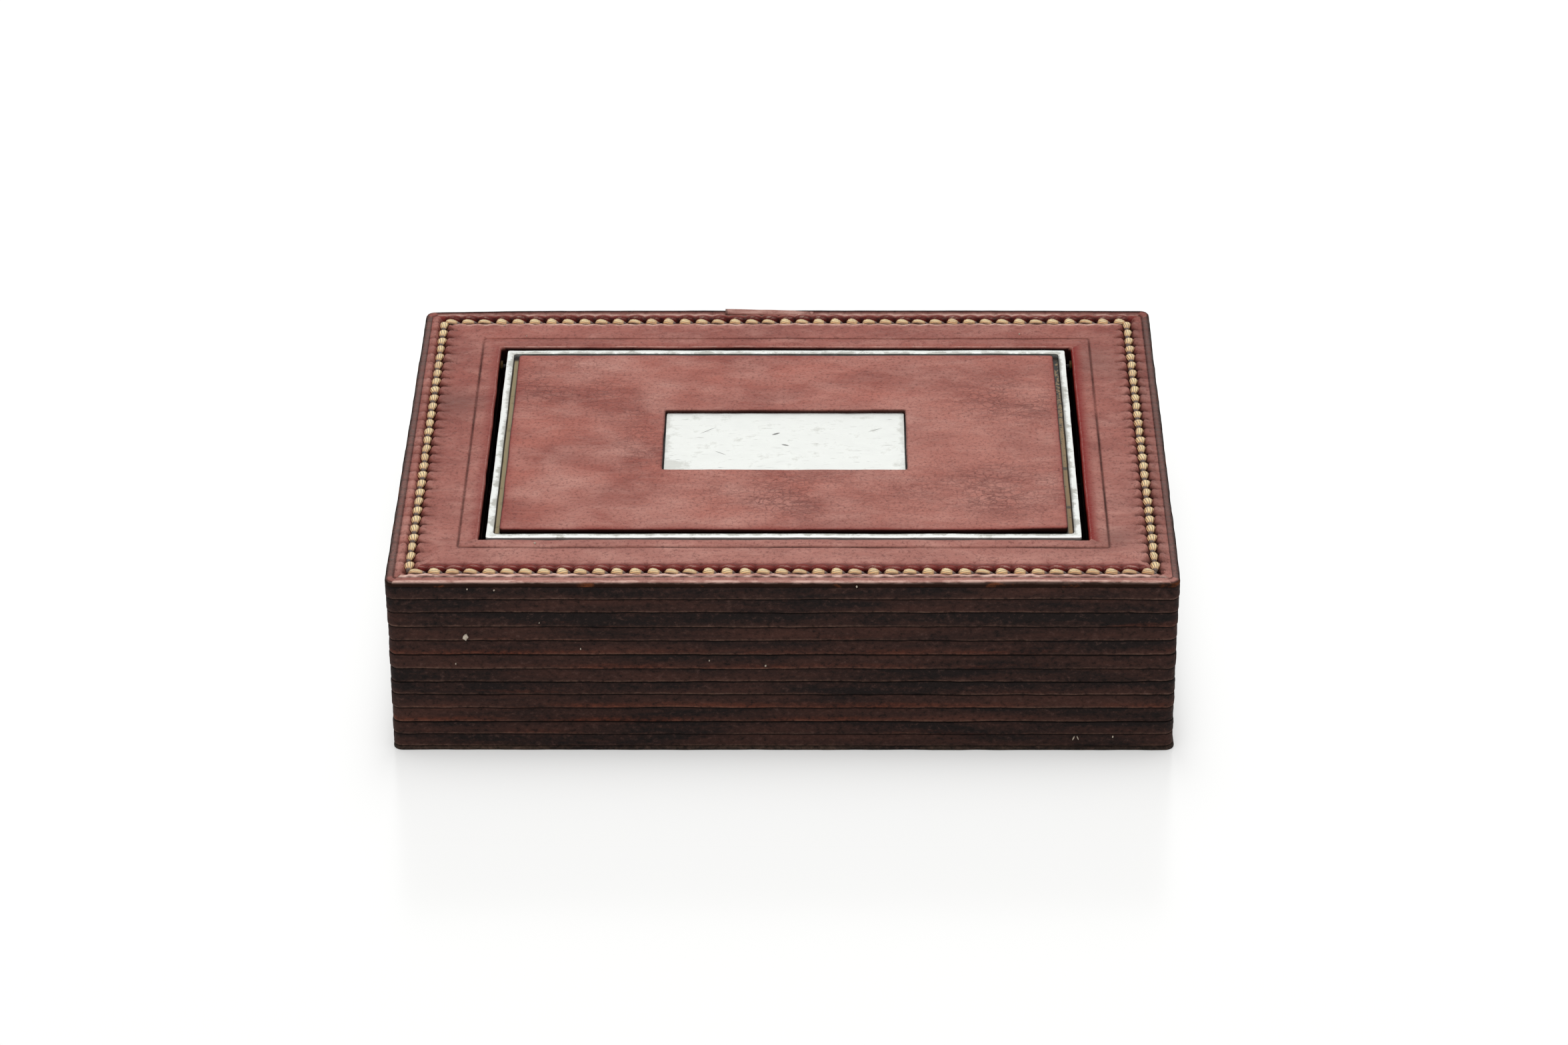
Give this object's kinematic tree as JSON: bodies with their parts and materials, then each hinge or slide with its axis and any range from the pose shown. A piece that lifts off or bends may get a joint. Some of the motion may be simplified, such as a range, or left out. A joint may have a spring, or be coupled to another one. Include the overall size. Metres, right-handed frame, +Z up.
{
  "type": "flip-top box",
  "caption": "Shallow keepsake box with stacked-leather sides, a hand-stitched leather top and a silver-rimmed flip-top lid set flush in it.",
  "frame": {"origin": "middle of the underside", "axes": "+X along the long side to the right, +Y to the back where the lid pivots, +Z up"},
  "size_m": [0.2012, 0.1462, 0.0509],
  "materials": {
    "stack_leather": "waxed cut edge",
    "cover_leather": "satin",
    "inset_leather": "satin",
    "lining_suede": "napped",
    "linen_thread": "waxed thread",
    "silver": "satin silver",
    "brass": "turned",
    "pin_steel": "drawn",
    "board": "plain"
  },
  "bodies": {
    "case": {"base_sheet": "stack_leather", "wall_layer_01": "stack_leather", "wall_layer_02": "stack_leather", "wall_layer_03": "stack_leather", "wall_layer_04": "stack_leather", "wall_layer_05": "stack_leather", "wall_layer_06": "stack_leather", "wall_layer_07": "stack_leather", "wall_layer_08": "stack_leather", "wall_layer_09": "stack_leather", "wall_layer_10": "stack_leather", "deck_layer_lower": "stack_leather", "deck_layer_upper": "stack_leather", "top_cover": "cover_leather", "stitching_front": "linen_thread", "stitching_back": "linen_thread", "stitching_left": "linen_thread", "stitching_right": "linen_thread", "floor_board": "board", "floor_lining": "lining_suede", "lining_front": "lining_suede", "lining_back": "lining_suede", "lining_left": "lining_suede", "lining_right": "lining_suede", "pivot_bush_left": "brass", "pivot_bush_right": "brass"},
    "lid": {"lid_tray": "silver", "lid_backing_board": "board", "lid_leather": "inset_leather", "lid_plaque": "silver", "pivot_pin_left": "pin_steel", "pivot_pin_right": "pin_steel"}
  },
  "joints": [
    {"name": "lid_hinge", "type": "hinge", "parent": "case", "child": "lid", "pos_m": [0, 0.04745, 0.04713], "axis": [-1, 0, 0], "range_deg": [0, 108]}
  ]
}
